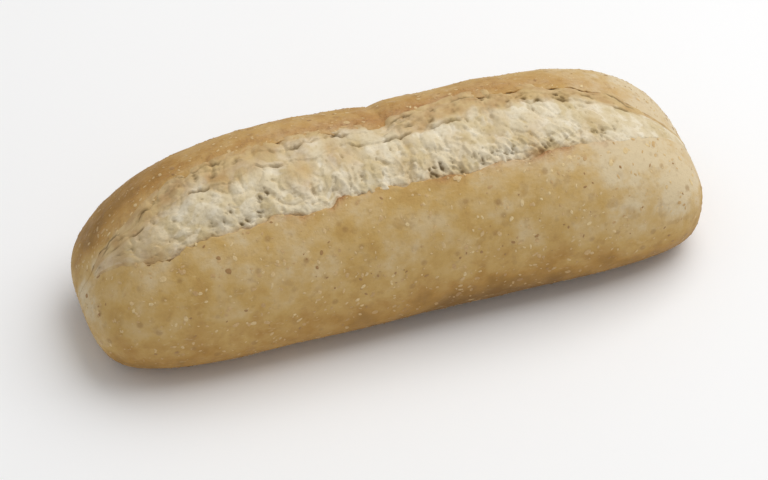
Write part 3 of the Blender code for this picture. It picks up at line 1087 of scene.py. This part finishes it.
def crumb_bake(station, across):
    """How far the crumb has browned: 0 in its pale middle, 1 on the torn layers under the rear lip, with
    some of the listed tan patches being painted shade in its pockets.
    """
    x = station * LENGTH / 2 / MM
    wander = rough_noise(x / 8.0, across * 2.0, 61, 3)
    stray = 0.06 * wander
    place = across + stray
    right = ease_between(0.0, 0.12, station)
    strip = ease_between(0.68, 0.80, place) * right
    begins = 0.52 + 0.22 * ease_between(-0.55, -0.2, station)
    fading = ease_between(0.0, 0.40, place - begins) * (1.0 - right)
    left = 0.7 * ease_between(-0.62, -0.92, station + 0.8 * stray)
    lip = 0.45 * ease_between(0.12, 0.0, place) * ease_between(-0.25, -0.5, station)
    lip += 0.7 * ease_between(0.09, 0.0, place) * lip_patches(station)
    patches = 0.28 * ease_between(0.0, 0.6, flat_noise(x / 5.5, across * 1.8, 66))
    # Listed tan patches, some of them painted shade in the crumb's pockets
    for along, share, strength in CRUMB_TANS_AND_SHADES:
        beside = bump_at(x + 2.0 * wander, along * LENGTH / 2 / MM, CRUMB_TAN_AND_SHADE_SPREAD[0])
        patches += strength * beside * bump_at(place, share, CRUMB_TAN_AND_SHADE_SPREAD[1])
    # A paler stretch towards the left end
    patches -= 0.4 * bump_at(station, -0.62, 0.12) * bump_at(place, 0.40, 0.30)
    return np.clip(strip + fading + left + lip + patches, 0.0, 1.0)


def crumb_material(colours):
    """Torn crumb: pale flakes, each of its own tint, tan where it has browned and in a few patches of
    painted shade, and darkened by painted shade in the pores and the gaps under the rear lip.
    """
    book = NodeBook("crumb")
    hollow = book.attribute("hollow")
    baked = book.attribute("baked")
    tint = book.remap(book.attribute("tint"), -1.0, 1.0)
    clouds = book.remap(book.noise(0.007, 3.0), 0.35, 0.65)
    shade = book.math("ADD", book.math("MULTIPLY", tint, 0.55), book.math("MULTIPLY", clouds, 0.45))
    pale = book.blend(shade, tuple(colours.crumb_pale), tuple(colours.crumb_shade))
    specks = book.remap(book.noise(0.0011, 3.0, 0.6), 0.48, 0.70)
    pale = book.tinted(pale, specks, 0.32, CRUMB_SPECK)
    uneven = book.remap(book.noise(0.004, 3.0), 0.35, 0.65)
    toasted = book.blend(uneven, linear(*CRUMB_TOAST), linear(*CRUMB_TOAST_PALE))
    toned = book.blend(book.math("MULTIPLY", baked, 0.85), pale, toasted)
    # Painted shade: pores and gaps darken towards the pore shade colour
    colour = book.blend(book.remap(hollow, 0.0, 1.0, 0.0, 0.85), toned, tuple(colours.pore_shade))
    rough = book.remap(book.noise(0.003, 2.0), 0.3, 0.7, 0.72, 0.9)
    book.shader.inputs["Specular IOR Level"].default_value = 0.25
    fibres = book.bump(book.noise(0.0009, 4.0, 0.65), 0.0003, 0.75)
    return book.finished(colour, rough, fibres)


def fleck_points(centre, normal, draw, length):
    """Rim, top and bottom points of one bran fleck lying on the crust."""
    reference = np.array([0.0, 0.0, 1.0]) if abs(normal[2]) < 0.8 else np.array([1.0, 0.0, 0.0])
    side = unit(np.cross(normal, reference))
    other = np.cross(normal, side)
    spin = draw.uniform(0.0, 2.0 * math.pi)
    long_way = math.cos(spin) * side + math.sin(spin) * other
    short_way = np.cross(normal, long_way)
    narrow = length * draw.uniform(*FLECK_NARROWNESS)
    ring = []
    for corner in range(FLECK_CORNERS):
        angle = 2.0 * math.pi * corner / FLECK_CORNERS
        reach = draw.uniform(0.75, 1.1) / 2
        aside = length * math.cos(angle) * long_way + narrow * math.sin(angle) * short_way
        ring.append(centre + reach * aside - normal * FLECK_SINK)
    thick = draw.uniform(*FLECK_THICKNESS)
    return ring, centre + normal * thick, centre - normal * FLECK_UNDER


def bran_flecks(grid, outer, bake_and_shading, sizes, material):
    """Thin flakes of bran scattered over the outer crust, each as baked as the crust that it lies on, its
    painted shade and light included.
    """
    draw = np.random.default_rng(11)
    normals = grid_normals(grid)
    cross = np.cross(np.gradient(grid, axis=0), np.gradient(grid, axis=1))
    area = np.linalg.norm(cross, axis=-1) * outer
    area[grid[..., 2] < FLECK_LOWEST] = 0.0
    picks = draw.choice(area.size, size=sizes.fleck_count, p=(area / area.sum()).ravel(), replace=False)
    points, faces, tints, bakes_and_shading = [], [], [], []
    for pick in picks:
        row, column = divmod(int(pick), grid.shape[1])
        length = sizes.fleck_length * min(math.exp(draw.normal(*FLECK_LENGTHS)), 1.0)
        ring, top, bottom = fleck_points(grid[row, column], normals[row, column], draw, length)
        start = len(points)
        points += ring + [top, bottom]
        count = len(ring)
        for i in range(count):
            j = (i + 1) % count
            faces.append((start + count, start + i, start + j))
            faces.append((start + count + 1, start + j, start + i))
        brown = draw.uniform() < BROWN_FLECKS
        tints += [draw.uniform(0.0, 0.35) if brown else draw.uniform(0.55, 1.0)] * (count + 2)
        bakes_and_shading += [float(bake_and_shading[row, column])] * (count + 2)
    piece = mesh_piece("bran_flecks", [tuple(point) for point in points], faces, material)
    piece.data.set_sharp_from_angle(angle=FLECK_EDGE)
    paint(piece, "tint", tints)
    paint(piece, "bake_and_shading", bakes_and_shading)
    return piece


def bran_material(colours):
    """Bran: pale or brown flakes, browned with the crust that they lie on and so carrying its painted shade
    and light.
    """
    book = NodeBook("bran")
    stops = [
        (0.0, tuple(colours.bran_dark)),
        (0.45, linear(*BRAN_BROWN)),
        (0.6, linear(*BRAN_TAN)),
        (1.0, tuple(colours.bran_pale)),
    ]
    colour = book.ramp(book.attribute("tint"), stops)
    # Browned by the crust's bake, which carries painted shade on the lower sides and painted light beside
    # the front lip
    browned = book.remap(book.attribute("bake_and_shading"), 0.40, 0.85, 0.0, 0.6)
    colour = book.blend(browned, colour, linear(*BRAN_BAKED))
    patch = book.remap(book.noise(0.0006, 2.0), 0.35, 0.65)
    colour = book.tinted(colour, patch, 0.25, BRAN_PATCH)
    rough = book.remap(book.noise(0.001, 2.0), 0.3, 0.7, 0.5, 0.75)
    return book.finished(colour, rough, book.bump(book.noise(0.0004, 2.0), 0.0001, 0.4))


class BREAD_OT_crust(bpy.types.Operator):
    """Make the baked crust with its torn lips"""

    bl_idname = "bread.crust"
    bl_label = "Crust"

    def execute(self, context):
        sizes, colours, _ = settings()
        grid, turn, _ = crust_grid(sizes)
        shift = frame_shift()
        tips = [(side * LENGTH / 2, -SIDEWAYS_BEND, WIDEST_LEVEL) for side in (-1.0, 1.0)]
        piece = grid_piece("crust", grid + shift, np.array(tips) + shift, crust_material(colours))
        # The bake carries painted shade on the lower sides and painted light beside the front lip
        bake_and_shading = crust_bake_and_shading(grid, turn)
        toast = lip_toast(turn, grid)
        paint(piece, "bake_and_shading", np.append(bake_and_shading, [bake_and_shading[0].mean(), bake_and_shading[-1].mean()]))
        paint(piece, "toast", np.append(toast, [0.0, 0.0]))
        place_on_frame(piece)
        return {"FINISHED"}


class BREAD_OT_crumb(bpy.types.Operator):
    """Make the torn crumb in the split"""

    bl_idname = "bread.crumb"
    bl_label = "Crumb"

    def execute(self, context):
        sizes, colours, _ = settings()
        shift = frame_shift()
        grid, station, across, hollow, tint = crumb_grid(sizes)
        tips = [grid[0].mean(axis=0), grid[-1].mean(axis=0)]
        piece = grid_piece("crumb", grid + shift, np.array(tips) + shift, crumb_material(colours))
        under = np.ones((CRUMB_STATIONS, CRUMB_UNDER_POINTS))
        for name, values in (("hollow", hollow), ("baked", crumb_bake(station, across)), ("tint", tint)):
            paint(piece, name, np.append(np.concatenate([values, under], axis=1), [1.0, 1.0]))
        place_on_frame(piece)
        return {"FINISHED"}


class BREAD_OT_flecks(bpy.types.Operator):
    """Scatter bran flecks over the crust"""

    bl_idname = "bread.flecks"
    bl_label = "Bran flecks"

    def execute(self, context):
        sizes, colours, _ = settings()
        grid, turn, outer = crust_grid(sizes)
        bake_and_shading = crust_bake_and_shading(grid, turn)
        piece = bran_flecks(grid + frame_shift(), outer, bake_and_shading, sizes, bran_material(colours))
        place_on_frame(piece)
        return {"FINISHED"}


class BREAD_OT_stage(bpy.types.Operator):
    """Make the floor, the lights and the camera"""

    bl_idname = "bread.stage"
    bl_label = "Stage"

    def execute(self, context):
        _, colours, stage = settings()
        make_floor(colours)
        make_lights(stage)
        make_camera(stage)
        return {"FINISHED"}


def make_floor(colours):
    book = NodeBook("floor")
    soft = book.remap(book.noise(0.15, 1.0), 0.3, 0.7)
    colour = book.tinted(tuple(colours.floor), soft, 0.2, FLOOR_SHADE)
    book.join(colour, book.shader.inputs["Base Color"])
    book.shader.inputs["Roughness"].default_value = 0.9
    sides = ((-1, -1), (1, -1), (1, 1), (-1, 1))
    points = [(x * FLOOR_HALF, y * FLOOR_HALF, 0.0) for x, y in sides]
    floor = mesh_piece("floor", points, [(0, 1, 2, 3)], book.material)


def make_lights(stage):
    world = bpy.data.worlds.new("studio")
    world.use_nodes = True
    sky = world.node_tree.nodes["Background"]
    sky.inputs["Color"].default_value = (1.0, 1.0, 1.0, 1.0)
    sky.inputs["Strength"].default_value = stage.sky_strength
    bpy.context.scene.world = world
    lamp = bpy.data.lights.new("key", "AREA")
    lamp.shape = "RECTANGLE"
    lamp.size = KEY_SIZE
    lamp.size_y = KEY_SIZE
    lamp.energy = stage.key_power
    key = bpy.data.objects.new("key", lamp)
    key.location = KEY_PLACE
    key.rotation_euler = (-key.location).to_track_quat("-Z", "Y").to_euler()
    bpy.context.scene.collection.objects.link(key)


def make_camera(stage):
    elevation, yaw = stage.elevation, stage.yaw
    level = math.cos(elevation)
    back = Vector((-math.sin(yaw) * level, -math.cos(yaw) * level, math.sin(elevation)))
    right = Vector((math.cos(yaw), -math.sin(yaw), 0.0))
    up = back.cross(right)
    scale = PHOTO_SCALE / stage.distance
    aside = (PHOTO_SIZE[0] / 2 - AIM_PIXEL[0]) / scale
    upward = (PHOTO_SIZE[1] / 2 - AIM_PIXEL[1]) / scale
    data = bpy.data.cameras.new("camera")
    data.sensor_width = SENSOR_WIDTH
    data.lens = PHOTO_SCALE / PHOTO_SIZE[0] * SENSOR_WIDTH * stage.distance
    data.clip_start = 0.05
    data.clip_end = 20.0
    camera = bpy.data.objects.new("camera", data)
    camera.location = Vector(CAMERA_AIM) + back * stage.distance + right * aside + up * upward
    turn = Matrix((right, up, back)).transposed()
    camera.rotation_euler = turn.to_euler()
    bpy.context.scene.collection.objects.link(camera)
    bpy.context.scene.camera = camera
    bpy.context.scene.view_settings.view_transform = "Standard"


class BREAD_PT_roll(bpy.types.Panel):
    """Sizes, colours and pieces of the roll"""

    bl_label = "Bread roll"
    bl_space_type = "VIEW_3D"
    bl_region_type = "UI"
    bl_category = "Bread"

    def draw(self, context):
        layout = self.layout
        for operator in OPERATORS:
            layout.operator(operator.bl_idname)
        for group in settings():
            box = layout.box()
            for name in group.__annotations__:
                box.prop(group, name)


OPERATORS = (BREAD_OT_crust, BREAD_OT_crumb, BREAD_OT_flecks, BREAD_OT_stage)
CLASSES = (BreadSizes, BreadColours, BreadStage, *OPERATORS, BREAD_PT_roll)


def register():
    for item in CLASSES:
        bpy.utils.register_class(item)
    bpy.types.Scene.bread_sizes = bpy.props.PointerProperty(type=BreadSizes)
    bpy.types.Scene.bread_colours = bpy.props.PointerProperty(type=BreadColours)
    bpy.types.Scene.bread_stage = bpy.props.PointerProperty(type=BreadStage)


def unregister():
    del bpy.types.Scene.bread_stage
    del bpy.types.Scene.bread_colours
    del bpy.types.Scene.bread_sizes
    for item in reversed(CLASSES):
        bpy.utils.unregister_class(item)


def main():
    register()
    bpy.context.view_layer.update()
    bpy.ops.bread.crust()
    bpy.ops.bread.crumb()
    bpy.ops.bread.flecks()
    bpy.ops.bread.stage()
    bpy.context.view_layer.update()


if __name__ == "__main__":
    main()
